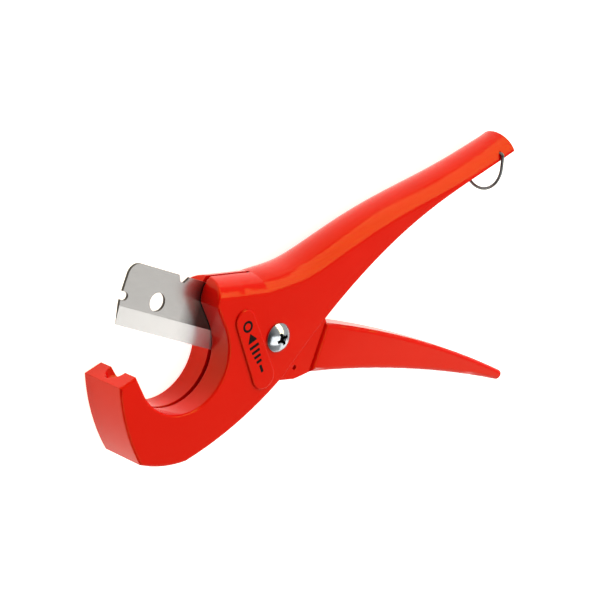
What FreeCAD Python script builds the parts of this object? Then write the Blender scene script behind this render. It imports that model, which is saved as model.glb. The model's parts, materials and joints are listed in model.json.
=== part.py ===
import FreeCAD, Part
import math
import os

V = FreeCAD.Vector

# Hand cutter for plastic pipe.  It lies on its side: X runs from the hook to the
# handle ends, Y is the direction in which the handles open, Z is the thickness.
# Everything is drawn about the pivot axis and moved to the part's origin at the end.

# ---- place of the pivot axis in the part's own frame
PIVOT_X = -29.12
PIVOT_Y = -2.99

TOUCH = 0.01                  # nearer than this counts as touching

# ---- frame casting
THICK = 22.5                  # hook and head, side to side
MID = THICK / 2.0
CRADLE_R = 21.0               # seat for a 42 mm pipe
CRADLE_X = -45.07
CRADLE_Y = 1.54
FRONT_R = 75.0                # the hook's front face is concentric with the pivot
CREASE_X = -4.5               # where the head's crown meets the handle's
CROWN_Y = 17.8                # foot of the crown at the crease
CROWN_H = 7.0                 # height of the elliptical crown on the head
CROWN_END_H = 7.6             # and at the end of the handle
HEAD_FALL = 0.124             # the head's crown falls this much per mm towards the crease
END_WIDTH = 19.2              # width of the upper handle at its end
PLATE_SPARE = 1.0             # plan prisms stand out this far before they are trimmed
HEAD_DEPTH = 75.0             # depth and reach of the trimming bar round the head
HEAD_REACH = 76.0
ROOT_DEPTH = 48.0             # depth of the one round the handle, at its root and end
END_DEPTH = 12.0
EDGE_R = 0.9                  # cast edge radius
PAD_H = 0.8                   # raised name pad
PAD_EDGE_R = 0.55

# ---- clearances and inner spaces of the frame
BLADE_T = 1.3
BLADE_FIT = 0.1               # between the blade and each side of its slot in the lever
SLOT_T = 1.9
FUNNEL_X = -68.3              # the tip's notch is round about here and runs back from it
FUNNEL_RUN = 12.0
FUNNEL_STEPS = [(1.5, 4.4), (-2.8, 3.7), (-5.6, SLOT_T / 2.0)]   # height, half-width
HUB_SLOT_T = 11.2
CHANNEL_T = 13.6
CHANNEL_R = 27.8              # the wide channel begins this far from the pivot
CHANNEL_ROOF = 3.2            # its roof above the foot of the crown
END_WALL = 3.0
HUB_R = 19.5
HUB_CLEAR = 0.5
STOP_GAP = 1.4                # degrees left between hub flare and stop when fully open
STOP_FACE = 15.0
BLADE_SWEEP_R = 72.9
EDGE_CLEAR = 0.8              # slot floor beyond the fully closed cutting edge
BACK_CLEAR = 0.6              # slot end behind the fully opened blade

# ---- lever and its travel
LEVER_ANGLE = -24.6           # direction of the lever's centre line as drawn
OPEN_ANGLE = -24.5
CLOSE_ANGLE = 38.0
LEVER_T = 12.6
HUB_T = 10.0
HUB_FLARE = -75.1             # where the round hub runs out into its lower flank
SHOULDER = 28.3
LEVER_EDGE_R = 1.8
LEVER_TIP_R = 2.0

# ---- blade
BLADE_HALF_W = 12.0
BEVEL_W = 7.1
BLADE_TIP = 71.4
HOLE_SPACING = 54.2
BLADE_HOLE_R = 3.58
EDGE_T = 0.06                 # width left at the cutting edge
BACK_NOTCH = 2.5
HEEL_BACK = 1.7

# ---- pivot stack
SHANK_R = 3.5
BORE_R = 3.55
THREAD_R = 2.9
SCREW_HEAD_R = 5.75
SCREW_HEAD_H = 3.2
SCREW_RIM_H = 0.6             # straight part of the head under its dome
RECESS_WING = 5.2
RECESS_WEB = 1.3
RECESS_DEPTH = 2.3
RECESS_MOUTH_R = 1.7
RECESS_TURN = 20.0
THREAD_SHORT = 0.15           # the thread ends this far inside the nut's outer face
NUT_AF = 10.0
POCKET_AF = 10.3
POCKET_DEPTH = 4.15
NUT_LOW = 0.25
NUT_HIGH = 3.55
WASHER_R = 9.0
WASHER_T = 0.5
PIN_R = 1.0
PIN_U = 19.8
PIN_V = -10.1
PIN_SHORT = 1.0               # its ends lie this far below the hub's faces
PIN_CHAMFER = 0.3
RING_R = 3.7                  # recess for the nylon ring in the nut's outer face
RING_DEPTH = 1.0
RING_SUNK = 0.1
CONE_IN_R = 3.1               # spring washer
CONE_OUT_R = 4.9
CONE_RISE = 0.2

# ---- latch bail
BAIL_X = 124.4
BAIL_Y = 50.8
BAIL_WIRE_R = 0.65
BAIL_HOLE_R = 0.75
BAIL_GRIP = 2.4               # how deep its ends sit in the handle's walls
BAIL_HALF_W = END_WIDTH / 2.0 + 0.2 + BAIL_WIRE_R
BAIL_REACH = 16.3
BAIL_BEND_R = 1.1
BAIL_ANGLE = -97.0


def flat(points):
    """Plan points as vectors at z = 0."""
    return [V(x, y, 0.0) for x, y in points]


def polar(radius, angle):
    a = math.radians(angle)
    return V(radius * math.cos(a), radius * math.sin(a), 0.0)


def line(a, b):
    return Part.LineSegment(a, b).toShape()


def arc(a, middle, b):
    return Part.Arc(a, middle, b).toShape()


def spline(points):
    curve = Part.BSplineCurve()
    curve.interpolate(points)
    return curve


def prism(edges, low, high):
    """A plan outline drawn at z = 0, raised from low to high."""
    solid = Part.Face(Part.Wire(edges)).extrude(V(0, 0, high - low))
    solid.translate(V(0, 0, low))
    return solid


def polygon(points, low, high):
    corners = flat(points)
    return prism([line(a, b) for a, b in zip(corners, corners[1:] + corners[:1])], low, high)


def disc(radius, low, high, x=0.0, y=0.0):
    return Part.makeCylinder(radius, high - low, V(x, y, low))


def hexagon(across_flats, low, high):
    r = across_flats / math.sqrt(3.0)
    corners = [polar(r, 60.0 * i) for i in range(6)]
    return prism([line(a, b) for a, b in zip(corners, corners[1:] + corners[:1])], low, high)


# ---------------------------------------------------------------- frame casting

def crown_foot():
    """Curve along the upper handle where its side turns into the rounded back."""
    return spline(flat([(CREASE_X, CROWN_Y), (14.7, 19.2), (27.6, 22.6), (50.8, 30.2),
                        (70.3, 35.2), (90.2, 39.3), (111.0, 44.2), (132.3, 50.6)]))


def skin_section(foot, along, width, crown, depth):
    """Closed cross-section: two straight sides, a flat bottom and an elliptical back."""
    up = V(-along.y, along.x, 0.0)
    centre = foot + V(0, 0, MID)
    near = centre + V(0, 0, width / 2.0)
    far = centre - V(0, 0, width / 2.0)
    low_near = near - up * depth
    low_far = far - up * depth
    ellipse = Part.Ellipse(near, centre + up * crown, centre)
    back = ellipse.toShape(0.0, math.pi)
    return Part.Wire([line(low_far, low_near), line(low_near, near), back, line(far, low_far)])


def head_skin():
    """Crowned bar that trims the hook and the head."""
    section = skin_section(V(CREASE_X, CROWN_Y, 0), V(1, 0, 0), THICK, CROWN_H, HEAD_DEPTH)
    return Part.Face(section).extrude(V(-HEAD_REACH, HEAD_REACH * HEAD_FALL, 0))


def handle_skin():
    """Crowned bar that follows the upper handle and narrows towards its end."""
    foot = crown_foot()
    start = foot.FirstParameter
    span = foot.LastParameter - start
    sections = []
    for share in (0.0, 0.13, 0.24, 0.4, 0.55, 0.7, 0.85, 1.0):
        u = start + span * share
        width = THICK + (END_WIDTH - THICK) * share
        crown = CROWN_H + (CROWN_END_H - CROWN_H) * share
        depth = ROOT_DEPTH + (END_DEPTH - ROOT_DEPTH) * share
        along = V(1, 0, 0) if share == 0.0 else foot.tangent(u)[0]
        sections.append(skin_section(foot.value(u), along, width, crown, depth))
    return Part.makeLoft(sections, True, False)


def frame_plan():
    """The whole frame seen from the side, left tall above the crown."""
    seat = V(CRADLE_X, CRADLE_Y, 0)
    seat_in = seat + polar(CRADLE_R, 207.2)
    seat_low = seat + polar(CRADLE_R, 290.0)
    seat_out = seat + polar(CRADLE_R, 25.5)
    tip_front = polar(FRONT_R, 181.45)
    chin = polar(FRONT_R, 207.15)
    tip_back, belly, heel = flat([(-67.5, 0.5), (-45.4, -38.5), (1.25, -17.9)])
    nose, nose_mid, nose_top, over_nose = flat([(-29.3, 18.4), (-28.0, 23.2), (-24.2, 27.6),
                                               (-24.2, 44.0)])
    grip_end, over_end = flat([(132.3, 50.8), (128.2, 64.2)])
    grip = spline([heel] + flat([(25.0, 2.2), (45.6, 16.3), (71.2, 30.1), (91.6, 38.2),
                                 (104.1, 42.2)]) + [grip_end])
    return [arc(tip_front, polar(FRONT_R, 195.0), chin),
            arc(chin, V(-56.5, -37.6, 0), belly),
            arc(belly, V(-21.5, -30.4, 0), heel),
            grip.toShape(),
            line(grip_end, over_end),
            line(over_end, over_nose),
            line(over_nose, nose_top),
            arc(nose_top, nose_mid, nose),
            line(nose, seat_out),
            arc(seat_out, seat_low, seat_in),
            line(seat_in, tip_back),
            line(tip_back, tip_front)]


def cast_edges(blank):
    """The head's outline along both sides and over the nose, where the casting is round."""
    outline = Part.Wire(frame_plan())
    chosen = []
    for edge in blank.Edges:
        box = edge.BoundBox
        middle = edge.valueAt((edge.FirstParameter + edge.LastParameter) / 2.0)
        offset = outline.distToShape(Part.Vertex(middle.x, middle.y, 0.0))[0]
        upright = box.XLength + box.YLength < TOUCH
        if offset < TOUCH and not upright and box.XMin < CREASE_X - EDGE_R:
            chosen.append(edge)
    return chosen


def frame_blank():
    plan = prism(frame_plan(), -PLATE_SPARE, THICK + PLATE_SPARE)
    head = plan.common(head_skin())
    handle = plan.common(handle_skin())
    blank = head.fuse(handle)
    return blank.makeFillet(EDGE_R, cast_edges(blank))


def blade_sweep():
    """Thin slot that the blade passes through from fully open to fully closed."""
    open_out = polar(1.0, 90.0 + LEVER_ANGLE + OPEN_ANGLE)
    open_along = V(-open_out.y, open_out.x, 0)
    shut_up = polar(1.0, 90.0 + LEVER_ANGLE + CLOSE_ANGLE)
    shut_along = V(-shut_up.y, shut_up.x, 0)
    top = BLADE_HALF_W + BACK_CLEAR
    floor = -(BLADE_HALF_W + EDGE_CLEAR)
    top_run = math.sqrt(BLADE_SWEEP_R ** 2 - top ** 2)
    floor_run = math.sqrt(BLADE_SWEEP_R ** 2 - floor ** 2)
    a = shut_up * floor
    b = a + shut_along * floor_run
    c = open_out * top + open_along * top_run
    d = open_out * top - open_along * 5.0
    edges = [line(a, b), arc(b, polar(BLADE_SWEEP_R, 165.0), c), line(c, d), line(d, a)]
    return prism(edges, MID - SLOT_T / 2.0, MID + SLOT_T / 2.0)


def hub_cavity():
    """Room for the lever's hub, with the flat face that stops it when fully open."""
    low = MID - HUB_SLOT_T / 2.0
    high = MID + HUB_SLOT_T / 2.0
    room = HUB_R + HUB_CLEAR
    stop = HUB_FLARE + LEVER_ANGLE + OPEN_ANGLE - STOP_GAP
    touch = polar(room, stop)
    lip = touch + polar(STOP_FACE, stop + 90.0)
    wedge = polygon([(touch.x, touch.y), (lip.x, lip.y), (40.0, -26.0), (40.0, 20.6),
                     (0.0, room)], low, high)
    return disc(room, low, high).fuse(wedge)


def channel():
    """The hollow under the upper handle that the lever closes into."""
    foot = crown_foot()
    start = foot.parameterAtDistance(16.0, foot.FirstParameter)
    stop = foot.parameterAtDistance(foot.length() - END_WALL, foot.FirstParameter)
    roof = []
    for i in range(8):
        u = start + (stop - start) * i / 7.0
        along = foot.tangent(u)[0]
        roof.append(foot.value(u) + V(-along.y, along.x, 0) * CHANNEL_ROOF)
    last = roof[-1]
    below = [last] + flat([(132.5, 43.0), (100.0, 32.0), (60.0, 12.0), (30.0, -22.0), (0.0, -30.0)])
    below.append(roof[0])
    edges = [spline(roof).toShape()] + [line(a, b) for a, b in zip(below, below[1:])]
    hollow = prism(edges, MID - CHANNEL_T / 2.0, MID + CHANNEL_T / 2.0)
    return hollow.cut(disc(CHANNEL_R, -PLATE_SPARE, THICK + PLATE_SPARE))


def tip_funnel():
    """Notch across the hook's tip, round at its front, that leads the blade into its slot."""
    back = FUNNEL_X + FUNNEL_RUN
    notch = None
    for (high, wide), (low, narrow) in zip(FUNNEL_STEPS, FUNNEL_STEPS[1:]):
        step = Part.makeCone(wide, narrow, high - low, V(FUNNEL_X, high, MID), V(0, -1, 0))
        corners = [V(FUNNEL_X, high, MID - wide), V(FUNNEL_X, high, MID + wide),
                   V(FUNNEL_X, low, MID + narrow), V(FUNNEL_X, low, MID - narrow)]
        outline = Part.Wire([line(a, b) for a, b in zip(corners, corners[1:] + corners[:1])])
        step = step.fuse(Part.Face(outline).extrude(V(back - FUNNEL_X, 0, 0)))
        notch = step if notch is None else notch.fuse(step)
    return notch


def name_pad():
    """Long raised pad beside the pivot screw, rounder at its lower end."""
    upper = V(-16.3, 10.2, 0)
    lower = V(-7.9, -13.6, 0)
    upper_r = 4.7
    lower_r = 5.4
    axis = lower - upper
    lean = math.degrees(math.asin((lower_r - upper_r) / axis.Length))
    heading = math.degrees(math.atan2(axis.y, axis.x))
    left = heading - 90.0 - lean
    right = heading + 90.0 + lean
    a = upper + polar(upper_r, left)
    b = lower + polar(lower_r, left)
    c = lower + polar(lower_r, right)
    d = upper + polar(upper_r, right)
    edges = [line(a, b), arc(b, lower + polar(lower_r, heading), c), line(c, d),
             arc(d, upper + polar(upper_r, heading + 180.0), a)]
    pad = prism(edges, THICK - PLATE_SPARE, THICK + PAD_H)
    rim = [e for e in pad.Edges if e.BoundBox.ZMin > THICK + PAD_H - TOUCH]
    return pad.makeFillet(PAD_EDGE_R, rim)


def frame_casting():
    body = frame_blank()
    body = body.cut(hub_cavity()).cut(channel()).cut(blade_sweep()).cut(tip_funnel())
    body = body.fuse(name_pad())
    body = body.cut(disc(BORE_R, -PLATE_SPARE, THICK + PLATE_SPARE))
    body = body.cut(hexagon(POCKET_AF, -PLATE_SPARE, POCKET_DEPTH))
    return body.cut(disc(BAIL_HOLE_R, -PLATE_SPARE, THICK + PLATE_SPARE, BAIL_X, BAIL_Y))


# ---------------------------------------------------------------- lever casting

def turned(shape):
    """From the lever's own straight frame to the drawn position."""
    shape.rotate(V(0, 0, 0), V(0, 0, 1), LEVER_ANGLE)
    return shape


def lever_bar():
    low = MID - LEVER_T / 2.0
    high = MID + LEVER_T / 2.0
    top_in, top_mid, top_out, low_out, low_mid, low_in = flat([
        (SHOULDER, 10.2), (80.0, 13.95), (143.2, 11.3), (140.8, 7.2), (84.0, 1.4),
        (SHOULDER, -10.2)])
    bar = prism([arc(top_in, top_mid, top_out), line(top_out, low_out),
                 arc(low_out, low_mid, low_in), line(low_in, top_in)], low, high)
    upright = [e for e in bar.Edges if e.BoundBox.ZLength > TOUCH]
    tip = [e for e in upright if e.BoundBox.XMin > SHOULDER + TOUCH]
    bar = bar.makeFillet(LEVER_TIP_R, tip)
    rims = [e for e in bar.Edges if e.BoundBox.ZLength < TOUCH]
    return bar.makeFillet(LEVER_EDGE_R, rims)


def lever_hub():
    low = MID - HUB_T / 2.0
    high = MID + HUB_T / 2.0
    upper = polar(HUB_R, 72.8)
    lower = polar(HUB_R, HUB_FLARE)
    knee, flank, root_low, root_high, neck = flat([
        (21.4, -14.5), (24.7, -12.6), (30.0, -9.2), (30.0, 9.6), (27.6, 11.85)])
    return prism([arc(upper, polar(HUB_R, 180.0), lower), line(lower, knee), line(knee, flank),
                  line(flank, root_low), line(root_low, root_high), line(root_high, neck),
                  line(neck, upper)], low, high)


def lever_casting():
    slot_end = 22.6
    body = lever_bar().fuse(lever_hub())
    body = body.cut(polygon([(-30.0, BLADE_HALF_W), (-30.0, -30.0), (slot_end, -30.0),
                             (slot_end, BLADE_HALF_W)],
                            MID - BLADE_T / 2.0 - BLADE_FIT, MID + BLADE_T / 2.0 + BLADE_FIT))
    body = body.cut(disc(BORE_R, 0.0, THICK))
    return turned(body.cut(disc(PIN_R, 0.0, THICK, PIN_U, PIN_V)))


# ---------------------------------------------------------------- blade

def blade_end(half, side):
    """Outline of one end of the blade, from its back notch round to its heel."""
    back = BLADE_HALF_W
    shelf = back - BACK_NOTCH
    run = flat([(side * x, y) for x, y in (
        (half - 28.6, back), (half - 26.8, shelf), (half - 24.9, shelf), (half - 23.4, back),
        (half - 4.8, back))])
    corner_mid, corner_end, notch_top, notch_high, notch_deep, notch_low, notch_foot, heel = flat(
        [(side * x, y) for x, y in (
            (half - 1.35, back - 1.45), (half, back - 4.8), (half, 0.5), (half - 1.4, 0.5),
            (half - 3.0, -1.1), (half - 1.4, -2.7), (half, -2.7), (half - HEEL_BACK, -back))])
    return [line(a, b) for a, b in zip(run, run[1:])] + [
        arc(run[-1], corner_mid, corner_end),
        line(corner_end, notch_top),
        line(notch_top, notch_high),
        arc(notch_high, notch_deep, notch_low),
        line(notch_low, notch_foot),
        line(notch_foot, heel)]


def ground_off(half, side):
    """What the grinding wheel takes from one face of the blade along its cutting edge."""
    face = MID + side * BLADE_T / 2.0
    edge = MID + side * EDGE_T / 2.0
    outside = MID + side * BLADE_T
    top = BEVEL_W - BLADE_HALF_W
    under = -BLADE_HALF_W - PLATE_SPARE
    reach = half + PLATE_SPARE
    ring = [V(-reach, y, z) for y, z in (
        (top, face), (-BLADE_HALF_W, edge), (under, edge), (under, outside), (top, outside))]
    outline = Part.Wire([line(a, b) for a, b in zip(ring, ring[1:] + ring[:1])])
    return Part.Face(outline).extrude(V(2.0 * reach, 0, 0))


def cutting_blade():
    """Reversible blade: a pivot hole, an end notch and a back notch at both ends."""
    half = BLADE_TIP - HOLE_SPACING / 2.0
    ends = blade_end(half, 1.0) + blade_end(half, -1.0)
    back_start = ends[0].Vertexes[0].Point
    heel = ends[len(ends) // 2 - 1].Vertexes[-1].Point
    back = line(V(-back_start.x, back_start.y, 0), back_start)
    edge = line(V(-heel.x, heel.y, 0), heel)
    outline = Part.Wire(Part.__sortEdges__(ends + [back, edge]))
    body = Part.Face(outline).extrude(V(0, 0, BLADE_T))
    body.translate(V(0, 0, MID - BLADE_T / 2.0))
    body = body.cut(ground_off(half, 1.0)).cut(ground_off(half, -1.0))
    body.translate(V(half - BLADE_TIP, 0, 0))
    for u in (0.0, -HOLE_SPACING):
        body = body.cut(disc(BLADE_HOLE_R, 0.0, THICK, u, 0.0))
    return turned(body)


# ---------------------------------------------------------------- pivot and pins

def revolved(points):
    """Turn an (radius, z) outline about the pivot axis."""
    ring = [V(r, 0, z) for r, z in points]
    wire = Part.Wire([line(a, b) for a, b in zip(ring, ring[1:] + ring[:1])])
    return Part.Face(wire).revolve(V(0, 0, 0), V(0, 0, 1), 360.0)


def pivot_screw():
    """Shoulder screw with a domed head, a short straight rim and a cross recess."""
    top = THICK + SCREW_HEAD_H
    rise = SCREW_HEAD_H - SCREW_RIM_H
    dome_r = (SCREW_HEAD_R ** 2 + rise ** 2) / (2.0 * rise)
    head = disc(SCREW_HEAD_R, THICK, top)
    head = head.common(Part.makeSphere(dome_r, V(0, 0, top - dome_r)))
    shank = disc(SHANK_R, POCKET_DEPTH, THICK)
    thread = disc(THREAD_R, NUT_LOW + THREAD_SHORT, POCKET_DEPTH)
    body = head.fuse(shank).fuse(thread)
    floor = top - RECESS_DEPTH
    for turn in (0.0, 90.0):
        corner = V(-RECESS_WING / 2.0, -RECESS_WEB / 2.0, floor)
        slot = Part.makeBox(RECESS_WING, RECESS_WEB, SCREW_HEAD_H, corner)
        slot.rotate(V(0, 0, 0), V(0, 0, 1), turn + RECESS_TURN)
        body = body.cut(slot)
    return body.cut(Part.makeCone(RECESS_WEB / 2.0, RECESS_MOUTH_R, RECESS_DEPTH, V(0, 0, floor)))


def pivot_nut():
    body = hexagon(NUT_AF, NUT_LOW, NUT_HIGH)
    cone = revolved([(0.0, NUT_LOW), (4.7, NUT_LOW), (6.2, NUT_LOW + 1.2), (6.2, NUT_HIGH),
                     (0.0, NUT_HIGH)])
    body = body.common(cone)
    body = body.cut(disc(RING_R, NUT_LOW, NUT_LOW + RING_DEPTH))
    return body.cut(disc(THREAD_R, 0.0, THICK))


def nut_lock_ring():
    ring = disc(RING_R, NUT_LOW + RING_SUNK, NUT_LOW + RING_DEPTH)
    return ring.cut(disc(THREAD_R, 0.0, THICK))


def spring_washer():
    """Conical washer squeezed between the nut and the floor of its pocket."""
    return revolved([(CONE_IN_R, NUT_HIGH), (CONE_OUT_R, NUT_HIGH + CONE_RISE),
                     (CONE_OUT_R, POCKET_DEPTH), (CONE_IN_R, POCKET_DEPTH - CONE_RISE)])


def thrust_washer(low):
    return disc(WASHER_R, low, low + WASHER_T).cut(disc(BORE_R, 0.0, THICK))


def blade_stop_pin():
    low = MID - HUB_T / 2.0 + PIN_SHORT
    high = MID + HUB_T / 2.0 - PIN_SHORT
    pin = disc(PIN_R, low, high, PIN_U, PIN_V)
    pin = pin.makeChamfer(PIN_CHAMFER, [e for e in pin.Edges if e.BoundBox.ZLength < TOUCH])
    return turned(pin)


# ---------------------------------------------------------------- latch bail

def latch_bail():
    """Wire bail: two inturned ends, two legs and a half-round bottom."""
    inner = END_WIDTH / 2.0 - BAIL_GRIP
    half = BAIL_HALF_W
    leg = BAIL_REACH - half
    bend = BAIL_BEND_R
    diag = bend * (1.0 - math.sqrt(0.5))
    spine = [line(V(0, 0, inner), V(0, 0, half - bend)),
             arc(V(0, 0, half - bend), V(diag, 0, half - diag), V(bend, 0, half)),
             line(V(bend, 0, half), V(leg, 0, half)),
             arc(V(leg, 0, half), V(leg + half, 0, 0), V(leg, 0, -half)),
             line(V(leg, 0, -half), V(bend, 0, -half)),
             arc(V(bend, 0, -half), V(diag, 0, diag - half), V(0, 0, bend - half)),
             line(V(0, 0, bend - half), V(0, 0, -inner))]
    start = Part.Wire([Part.Circle(V(0, 0, inner), V(0, 0, 1), BAIL_WIRE_R).toShape()])
    wire = Part.Wire(spine).makePipeShell([start], True, False)
    wire.rotate(V(0, 0, 0), V(0, 0, 1), BAIL_ANGLE)
    wire.translate(V(BAIL_X, BAIL_Y, MID))
    return wire


def main():
    os.makedirs("parts", exist_ok=True)
    cheek_low = MID - HUB_SLOT_T / 2.0
    cheek_high = MID + HUB_SLOT_T / 2.0
    nodes = {"frame_casting": frame_casting(),
             "lever_casting": lever_casting(),
             "cutting_blade": cutting_blade(),
             "blade_stop_pin": blade_stop_pin(),
             "pivot_screw": pivot_screw(),
             "pivot_nut": pivot_nut(),
             "nut_lock_ring": nut_lock_ring(),
             "spring_washer": spring_washer(),
             "thrust_washer_lower": thrust_washer(cheek_low),
             "thrust_washer_upper": thrust_washer(cheek_high - WASHER_T),
             "latch_bail": latch_bail()}
    for name, shape in nodes.items():
        shape.translate(V(PIVOT_X, PIVOT_Y, 0))
        shape.exportStep("parts/" + name + ".step")
        box = shape.BoundBox
        print(name, shape.isValid(), len(shape.Solids), round(shape.Volume, 1),
              [round(v, 2) for v in (box.XMin, box.YMin, box.ZMin, box.XMax, box.YMax, box.ZMax)])


main()
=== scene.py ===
import json
import math

import bpy
from mathutils import Matrix, Vector


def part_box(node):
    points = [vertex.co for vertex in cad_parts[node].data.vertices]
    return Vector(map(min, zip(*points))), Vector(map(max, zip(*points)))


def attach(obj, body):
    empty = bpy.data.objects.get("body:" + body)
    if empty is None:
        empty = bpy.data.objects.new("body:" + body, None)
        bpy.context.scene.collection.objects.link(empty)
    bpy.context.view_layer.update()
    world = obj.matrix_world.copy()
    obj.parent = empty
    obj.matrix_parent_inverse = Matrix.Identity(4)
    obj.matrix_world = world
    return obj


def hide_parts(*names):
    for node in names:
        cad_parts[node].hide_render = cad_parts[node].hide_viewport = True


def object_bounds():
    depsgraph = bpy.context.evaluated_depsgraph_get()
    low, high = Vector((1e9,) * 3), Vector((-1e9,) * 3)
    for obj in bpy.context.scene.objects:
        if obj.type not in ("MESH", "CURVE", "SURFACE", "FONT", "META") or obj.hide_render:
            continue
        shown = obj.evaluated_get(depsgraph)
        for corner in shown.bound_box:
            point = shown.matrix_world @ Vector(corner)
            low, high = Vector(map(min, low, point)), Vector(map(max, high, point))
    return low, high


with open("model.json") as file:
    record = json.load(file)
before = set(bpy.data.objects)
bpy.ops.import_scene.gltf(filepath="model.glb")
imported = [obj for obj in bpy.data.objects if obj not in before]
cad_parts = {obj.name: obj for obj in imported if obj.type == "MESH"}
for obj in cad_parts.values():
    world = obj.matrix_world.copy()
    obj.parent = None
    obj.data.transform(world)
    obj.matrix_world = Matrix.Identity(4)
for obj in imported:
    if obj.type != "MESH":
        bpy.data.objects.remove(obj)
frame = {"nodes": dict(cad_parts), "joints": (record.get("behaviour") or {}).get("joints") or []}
cad_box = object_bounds()

MM = 0.001
NODES = frame["nodes"]
JOINTS = {joint["name"]: joint for joint in frame["joints"]}
PIVOT = Vector(JOINTS["lever_pivot"]["pos_m"])
LEVER_TURN = math.radians(24.6)         # brings the blade and lever level with X
WHITE = (1.0, 1.0, 1.0)

# ---- camera: where the photographer stood, about the tool lying on its side
YAW = math.radians(41.6)
PITCH = math.radians(18.55)
DISTANCE = 0.765
LENS = 120.0
SENSOR = 36.0
NEAREST = 0.01                          # nothing nearer than this is drawn
AIM = Vector((-0.0198, 0.0106, 0.0247))

# ---- studio: a glowing table in a room that is dark towards -X, with three lights
FLOOR_SIZE = 4.0
FLOOR_GAP = 0.0003                      # the floor lies this far below the tool
FLOOR_RUN = (-0.14, -0.03)              # between these places along X
FLOOR_GLOW = (1.2, 0.74)                # the floor's glow goes from one to the other
FLOOR_WARM = (1.0, 0.85, 0.65)          # and its colour from this to white
ROOM_RUN = (-0.7, 0.6)                  # between these directions along X
ROOM_GLOW = (0.05, 0.66)                # the room brightens from one to the other
WARM = (1.0, 0.84, 0.5)                 # colour of the light over the crown

# name, place, direction of the long side, size, power, colour
LIGHTS = [
    ("top_softbox", (0.414, 0.603, 0.513), (-0.3, 0.86, -0.78), (1.3, 0.42), 8.5, WARM),
    ("front_fill", (-0.16, -0.34, 0.9), (1.0, 0.0, 0.0), (0.9, 0.9), 4.8, WHITE),
    ("low_softbox", (0.68, -0.62, 0.40), (-0.28, 0.52, 0.80), (0.83, 0.6), 1.6, WHITE)]

# ---- enamel
RED_DEEP = (0.58, 0.0028, 0.0016)
RED_LIGHT = (0.62, 0.0038, 0.0024)
GLOSS_TINT = (0.9, 1.0, 0.12, 1.0)      # its gloss is orange
EDGE_SOFT = 0.4 * MM                    # the shading rounds sharp edges this much
PEEL_RISE = 0.04 * MM                   # height of its orange peel

# ---- steel
BLADE_SHADE_RUN = (-42.0 * MM, -33.0 * MM)    # painted shade on the blade beside the cheek, out from the pivot
RECESS_SHADE_RIM = (2.4 * MM, 3.0 * MM)       # painted shade in the cross recess, out from the screw's axis
RECESS_SHADE_MOUTH = (24.5 * MM, 25.1 * MM)   # and up from the floor
FLATTEN = 0.0001                        # a scale that leaves next to nothing of Z
FLAT_FACE = 0.999                       # a normal this near to Z is on the blade's flat
GROUND_FACE = 0.9                       # and this near, on its ground bevel

# ---- generic marks on the pad: a pipe's ring, a wedge, graduation bars and a dash
PAD_UPPER = PIVOT + Vector((-16.3, 10.2, 0.0)) * MM
PAD_LOWER = PIVOT + Vector((-7.9, -13.6, 0.0)) * MM
MARK_RISE = 0.05 * MM                   # the ink stands this far off the pad
MARK_CORNER = 0.25 * MM
RING_MIDDLE = 2.2 * MM                  # places along the pad, from its upper centre
RING_OUT = 2.35 * MM
RING_IN = 1.4 * MM
WEDGE_TIP = 5.4 * MM
WEDGE_BASE = 9.2 * MM
WEDGE_HALF = 2.35 * MM
WEDGE_CORNER = 0.5 * MM
BAR_FIRST = 11.3 * MM
BAR_STEP = 2.3 * MM
BAR_THICK = 1.15 * MM
BAR_WIDTHS = [4.7 * MM, 4.0 * MM, 3.3 * MM, 2.6 * MM]
DASH_MIDDLE = 21.6 * MM
DASH_LONG = 3.2 * MM
DASH_WIDE = 1.2 * MM
CIRCLE_STEPS = 48
CORNER_STEPS = 6


def place_camera():
    """A camera that looks at AIM from YAW round and PITCH up."""
    right = Vector((math.cos(YAW), 0.0, math.sin(YAW)))
    forward = Vector((math.sin(YAW) * math.cos(PITCH), -math.sin(PITCH),
                      -math.cos(YAW) * math.cos(PITCH)))
    up = right.cross(forward)
    turn = Matrix((right, up, -forward)).transposed().to_4x4()
    data = bpy.data.cameras.new("camera")
    data.lens = LENS
    data.sensor_width = SENSOR
    data.clip_start = NEAREST
    camera = bpy.data.objects.new("camera", data)
    camera.matrix_world = Matrix.Translation(AIM - forward * DISTANCE) @ turn
    bpy.context.scene.collection.objects.link(camera)
    bpy.context.scene.camera = camera


# ------------------------------------------------------------------ materials

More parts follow.
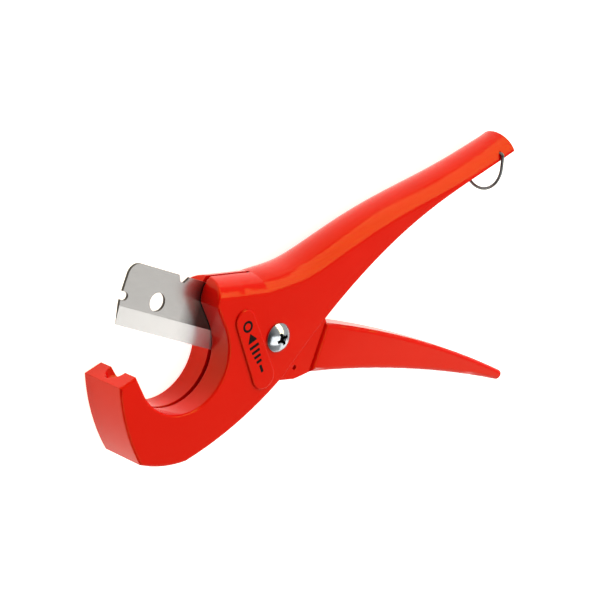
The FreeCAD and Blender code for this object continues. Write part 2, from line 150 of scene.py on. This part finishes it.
class Nodes:
    """Short way to add and join shader nodes of one material."""

    def __init__(self, name):
        self.material = bpy.data.materials.new(name)
        self.material.use_nodes = True
        self.tree = self.material.node_tree
        self.shader = self.tree.nodes["Principled BSDF"]

    def add(self, kind, **settings):
        node = self.tree.nodes.new(kind)
        for key, value in settings.items():
            if hasattr(node, key):
                setattr(node, key, value)
            else:
                node.inputs[key.replace("_", " ")].default_value = value
        return node

    def join(self, out, into):
        self.tree.links.new(out, into)

    def set(self, **values):
        for key, value in values.items():
            self.shader.inputs[key.replace("_", " ")].default_value = value

    def place(self, scale=(1.0, 1.0, 1.0), turn=0.0, origin=(0.0, 0.0, 0.0)):
        """Object coordinates in metres from an origin, turned about Z and then stretched."""
        coords = self.add("ShaderNodeTexCoord")
        mapping = self.add("ShaderNodeMapping", vector_type="TEXTURE")
        mapping.inputs["Location"].default_value = origin
        mapping.inputs["Rotation"].default_value = (0.0, 0.0, -turn)
        mapping.inputs["Scale"].default_value = [1.0 / s for s in scale]
        self.join(coords.outputs["Object"], mapping.inputs["Vector"])
        return mapping.outputs["Vector"]

    def noise(self, vector, scale, detail=2.0):
        node = self.add("ShaderNodeTexNoise")
        node.inputs["Scale"].default_value = scale
        node.inputs["Detail"].default_value = detail
        self.join(vector, node.inputs["Vector"])
        return node.outputs["Fac"]

    def ramp(self, fac, stops):
        """Turn a value into a colour, from stops of place and colour."""
        node = self.add("ShaderNodeValToRGB")
        elements = node.color_ramp.elements
        while len(elements) < len(stops):
            elements.new(0.5)
        for element, (place, colour) in zip(elements, stops):
            element.position = place
            element.color = (*colour, 1.0)
        self.join(fac, node.inputs["Fac"])
        return node.outputs["Color"]

    def span(self, fac, low, high, start=0.0, end=1.0):
        """Carry a value from start..end into low..high."""
        node = self.add("ShaderNodeMapRange")
        node.inputs["From Min"].default_value = start
        node.inputs["From Max"].default_value = end
        node.inputs["To Min"].default_value = low
        node.inputs["To Max"].default_value = high
        self.join(fac, node.inputs["Value"])
        return node.outputs["Result"]

    def axis(self, vector, name):
        """One of a vector's three numbers."""
        node = self.add("ShaderNodeSeparateXYZ")
        self.join(vector, node.inputs["Vector"])
        return node.outputs[name]

    def shade(self, colour, factor):
        """Darken a colour by a factor that varies over the surface."""
        node = self.add("ShaderNodeVectorMath", operation="SCALE")
        self.join(colour, node.inputs["Vector"])
        self.join(factor, node.inputs["Scale"])
        return node.outputs["Vector"]

    def bump(self, height, distance, strength=0.2):
        """Raise the surface's shading by a height of up to a distance."""
        node = self.add("ShaderNodeBump")
        node.inputs["Distance"].default_value = distance
        node.inputs["Strength"].default_value = strength
        self.join(height, node.inputs["Height"])
        self.join(node.outputs["Normal"], self.shader.inputs["Normal"])
        return node

    def round_edges(self, bump, radius):
        """Soften the shading of sharp edges under a bump."""
        node = self.add("ShaderNodeBevel")
        node.samples = 4
        node.inputs["Radius"].default_value = radius
        self.join(node.outputs["Normal"], bump.inputs["Normal"])


def enamel():
    """Glossy red enamel over a die casting: faint orange peel, slightly uneven colour."""
    m = Nodes("red_enamel")
    here = m.place()
    cloud = m.noise(here, scale=28.0, detail=3.0)
    m.join(m.ramp(cloud, [(0.3, RED_DEEP), (0.7, RED_LIGHT)]), m.shader.inputs["Base Color"])
    patch = m.noise(here, scale=140.0, detail=2.0)
    m.join(m.span(patch, low=0.12, high=0.18), m.shader.inputs["Roughness"])
    m.set(IOR=1.16, Specular_IOR_Level=1.0, Specular_Tint=GLOSS_TINT)
    m.set(Coat_Weight=0.04, Coat_Roughness=0.03)
    peel = m.bump(m.noise(here, scale=1100.0, detail=1.0), distance=PEEL_RISE)
    m.round_edges(peel, EDGE_SOFT)
    return m.material


def brushed(name, colour, rough, along=(1.0, 1.0, 1.0), turn=0.0, metal=1.0, lines=5200.0,
            depth=0.012 * MM, painted_shade=1.0):
    """Steel with fine marks.  Along stretches the grain, and the last argument, under 1, paints shade
    onto the blade, darker towards the pivot beside the cheek."""
    m = Nodes(name)
    grain = m.noise(m.place(scale=along, turn=turn), scale=lines)
    dark = tuple(c * 0.96 for c in colour)
    light = tuple(min(1.0, c * 1.03) for c in colour)
    steel = m.ramp(grain, [(0.35, dark), (0.65, light)])
    # painted shade: the blade darkens towards the pivot, beside the cheek
    if painted_shade < 1.0:
        out = m.axis(m.place(turn=turn, origin=PIVOT), "X")
        steel = m.shade(steel, m.span(out, 1.0, painted_shade, *BLADE_SHADE_RUN))
    m.join(steel, m.shader.inputs["Base Color"])
    m.join(m.span(grain, low=rough * 0.85, high=rough * 1.2), m.shader.inputs["Roughness"])
    m.set(Metallic=metal)
    m.bump(grain, distance=depth)
    return m.material


def plated():
    """Bright zinc plating, with painted shade inside the cross recess."""
    m = Nodes("bright_plating")
    here = m.place(origin=PIVOT)
    smear = m.noise(here, scale=420.0, detail=3.0)
    zinc = m.ramp(smear, [(0.35, (0.42, 0.45, 0.47)), (0.65, (0.52, 0.55, 0.57))])
    # painted shade: darker near the screw's axis, below the recess mouth
    middle = m.add("ShaderNodeVectorMath", operation="LENGTH")
    m.join(m.place(scale=(1.0, 1.0, FLATTEN), origin=PIVOT), middle.inputs["Vector"])
    clear = m.add("ShaderNodeMath", operation="MAXIMUM")
    m.join(m.span(middle.outputs["Value"], 0.0, 1.0, *RECESS_SHADE_RIM), clear.inputs[0])
    m.join(m.span(m.axis(m.place(), "Z"), 0.0, 1.0, *RECESS_SHADE_MOUTH), clear.inputs[1])
    shaded = m.shade(zinc, m.span(clear.outputs["Value"], low=0.12, high=1.0))
    m.join(shaded, m.shader.inputs["Base Color"])
    m.join(m.span(smear, low=0.14, high=0.22), m.shader.inputs["Roughness"])
    m.set(Metallic=1.0)
    m.bump(m.noise(here, scale=900.0, detail=2.0), distance=0.02 * MM)
    return m.material


def wire_steel():
    """Dark drawn spring wire of the latch."""
    m = Nodes("dark_spring_wire")
    here = m.place()
    drawn = m.noise(here, scale=1500.0, detail=3.0)
    m.join(m.ramp(drawn, [(0.35, (0.085, 0.095, 0.095)), (0.7, (0.17, 0.18, 0.18))]),
           m.shader.inputs["Base Color"])
    m.join(m.span(drawn, low=0.22, high=0.4), m.shader.inputs["Roughness"])
    m.set(Metallic=1.0)
    return m.material


def cut_steel():
    """The blade's punched outline: dark, a little uneven."""
    m = Nodes("cut_steel")
    here = m.place()
    scale = m.noise(here, scale=900.0, detail=3.0)
    m.join(m.ramp(scale, [(0.3, (0.012, 0.011, 0.010)), (0.7, (0.035, 0.033, 0.031))]),
           m.shader.inputs["Base Color"])
    m.join(m.span(scale, low=0.35, high=0.55), m.shader.inputs["Roughness"])
    m.set(Metallic=0.4)
    return m.material


def ink():
    """Black printing ink on the pad."""
    m = Nodes("black_ink")
    here = m.place()
    grain = m.noise(here, scale=2600.0, detail=2.0)
    m.join(m.ramp(grain, [(0.3, (0.004, 0.003, 0.003)), (0.7, (0.012, 0.009, 0.009))]),
           m.shader.inputs["Base Color"])
    m.join(m.span(grain, low=0.6, high=0.8), m.shader.inputs["Roughness"])
    m.set(Specular_IOR_Level=0.05)
    return m.material


def nylon():
    """Off-white locking ring in the nut."""
    m = Nodes("nylon")
    here = m.place()
    m.join(m.ramp(m.noise(here, scale=600.0), [(0.3, (0.78, 0.76, 0.68)), (0.7, (0.86, 0.84, 0.76))]),
           m.shader.inputs["Base Color"])
    m.set(Roughness=0.5, Subsurface_Weight=0.1)
    return m.material


def floor_paper():
    """White paper on a light table, warmer and brighter towards -X."""
    m = Nodes("pale_floor")
    here = m.place()
    m.join(m.ramp(m.noise(here, scale=30.0), [(0.3, (0.73, 0.73, 0.73)), (0.7, (0.75, 0.75, 0.75))]),
           m.shader.inputs["Base Color"])
    out = m.axis(here, "X")
    m.join(m.span(out, *FLOOR_GLOW, *FLOOR_RUN), m.shader.inputs["Emission Strength"])
    tone = m.ramp(m.span(out, 0.0, 1.0, *FLOOR_RUN), [(0.0, FLOOR_WARM), (1.0, WHITE)])
    m.join(tone, m.shader.inputs["Emission Color"])
    m.set(Roughness=0.9, Specular_IOR_Level=0.1)
    return m.material


def paint_node(name, material):
    """Give a CAD node its material."""
    for slot in NODES[name].material_slots:
        slot.material = material


# ------------------------------------------------------------------ studio

def area_light(name, place, along, size, power, colour):
    """A light that faces the origin, with its long side along a direction."""
    data = bpy.data.lights.new(name, "AREA")
    data.shape = "RECTANGLE"
    data.color = colour
    data.size, data.size_y = size
    data.energy = power
    back = Vector(place).normalized()
    side = back.cross(Vector(along)).normalized()
    turn = Matrix((side.cross(back), side, back)).transposed().to_4x4()
    light = bpy.data.objects.new(name, data)
    light.matrix_world = Matrix.Translation(place) @ turn
    bpy.context.scene.collection.objects.link(light)


def room():
    """A white room, nearly dark towards -X and brighter towards +X."""
    world = bpy.data.worlds.new("studio")
    world.use_nodes = True
    nodes = world.node_tree.nodes
    join = world.node_tree.links.new
    back = nodes["Background"]
    back.inputs["Color"].default_value = (*WHITE, 1.0)
    coords = nodes.new("ShaderNodeTexCoord")
    split = nodes.new("ShaderNodeSeparateXYZ")
    fade = nodes.new("ShaderNodeMapRange")
    limits = ROOM_RUN + ROOM_GLOW
    for socket, value in zip(("From Min", "From Max", "To Min", "To Max"), limits):
        fade.inputs[socket].default_value = value
    join(coords.outputs["Generated"], split.inputs["Vector"])
    join(split.outputs["X"], fade.inputs["Value"])
    join(fade.outputs["Result"], back.inputs["Strength"])
    bpy.context.scene.world = world


def studio():
    under = cad_box[0][2] - FLOOR_GAP
    bpy.ops.mesh.primitive_plane_add(size=FLOOR_SIZE, location=(0.0, 0.0, under))
    floor = bpy.context.object
    floor.name = "floor"
    floor.data.materials.append(floor_paper())
    room()
    for light in LIGHTS:
        area_light(*light)


# ------------------------------------------------------------------ the tool

def link(name, data):
    """A new object in the scene."""
    piece = bpy.data.objects.new(name, data)
    bpy.context.scene.collection.objects.link(piece)
    return piece


def ground_blade():
    """The blade with its three finishes: satin flats, bright bevels and dark cut outline."""
    mesh = NODES["cutting_blade"].data.copy()
    mesh.materials.clear()
    # flat and bevel both get painted shade towards the pivot
    mesh.materials.append(brushed("blade_flat", (0.68, 0.66, 0.63), 0.22, (0.04, 1.0, 1.0),
                                  LEVER_TURN, depth=0.003 * MM, painted_shade=0.15))
    mesh.materials.append(brushed("blade_ground", (0.88, 0.87, 0.85), 0.22, (1.0, 0.04, 1.0),
                                  LEVER_TURN, metal=0.8, painted_shade=0.85))
    mesh.materials.append(cut_steel())
    for face in mesh.polygons:
        level = abs(face.normal.z)
        face.material_index = 0 if level > FLAT_FACE else 1 if level > GROUND_FACE else 2
    blade = link("ground_blade", mesh)
    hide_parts("cutting_blade")
    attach(blade, "lever")


def rounded(corners, radius):
    """A closed outline with its corners rounded."""
    outline = []
    for i, corner in enumerate(corners):
        start = corner + (corners[i - 1] - corner).normalized() * radius
        end = corner + (corners[(i + 1) % len(corners)] - corner).normalized() * radius
        for k in range(CORNER_STEPS + 1):
            t = k / CORNER_STEPS
            outline.append(start * (1 - t) ** 2 + corner * 2 * t * (1 - t) + end * t ** 2)
    return outline


def circle(middle, radius):
    """A circle about a place along the pad."""
    turns = [2.0 * math.pi * k / CIRCLE_STEPS for k in range(CIRCLE_STEPS)]
    return [Vector((middle + math.cos(a) * radius, math.sin(a) * radius)) for a in turns]


def bar(middle, along, across):
    """A bar about a place along the pad, with its size along the pad and across it."""
    corners = [(-along, -across), (along, -across), (along, across), (-along, across)]
    return rounded([Vector((middle + u / 2.0, v / 2.0)) for u, v in corners], MARK_CORNER)


def mark_outlines():
    """The marks, drawn along the pad (first number) and across it (second)."""
    wedge = [Vector((WEDGE_TIP, 0.0)), Vector((WEDGE_BASE, -WEDGE_HALF)),
             Vector((WEDGE_BASE, WEDGE_HALF))]
    outlines = [circle(RING_MIDDLE, RING_OUT), circle(RING_MIDDLE, RING_IN),
                rounded(wedge, WEDGE_CORNER)]
    for i, width in enumerate(BAR_WIDTHS):
        outlines.append(bar(BAR_FIRST + BAR_STEP * i, BAR_THICK, width))
    outlines.append(bar(DASH_MIDDLE, DASH_LONG, DASH_WIDE))
    return outlines


def pad_marks():
    """The marks as one thin printed mesh on the pad."""
    curve = bpy.data.curves.new("pad_marks", "CURVE")
    curve.dimensions = "2D"
    curve.fill_mode = "BOTH"
    curve.extrude = MARK_RISE
    for outline in mark_outlines():
        spline = curve.splines.new("POLY")
        spline.points.add(len(outline) - 1)
        spline.use_cyclic_u = True
        for point, place in zip(spline.points, outline):
            point.co = (place.x, place.y, 0.0, 1.0)
    drawn = bpy.data.objects.new("drawn_marks", curve)
    marks = link("pad_marks", bpy.data.meshes.new_from_object(drawn))
    bpy.data.objects.remove(drawn)
    along = (PAD_LOWER - PAD_UPPER).normalized()
    across = Vector((-along.y, along.x, 0.0))
    turn = Matrix((along, across, Vector((0.0, 0.0, 1.0)))).transposed().to_4x4()
    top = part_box("frame_casting")[1].z
    marks.matrix_world = Matrix.Translation(Vector((PAD_UPPER.x, PAD_UPPER.y, top))) @ turn
    marks.data.materials.clear()
    marks.data.materials.append(ink())
    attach(marks, "frame")


def main():
    bpy.context.scene.view_settings.view_transform = "Standard"
    place_camera()
    studio()
    red = enamel()
    for name in ("frame_casting", "lever_casting", "blade_stop_pin"):
        paint_node(name, red)
    ground_blade()
    pad_marks()
    steel = brushed("plain_steel", (0.56, 0.56, 0.56), 0.35, lines=900.0)
    for name in ("spring_washer", "thrust_washer_lower", "thrust_washer_upper"):
        paint_node(name, steel)
    bright = plated()
    paint_node("pivot_screw", bright)
    paint_node("pivot_nut", bright)
    paint_node("nut_lock_ring", nylon())
    paint_node("latch_bail", wire_steel())


main()
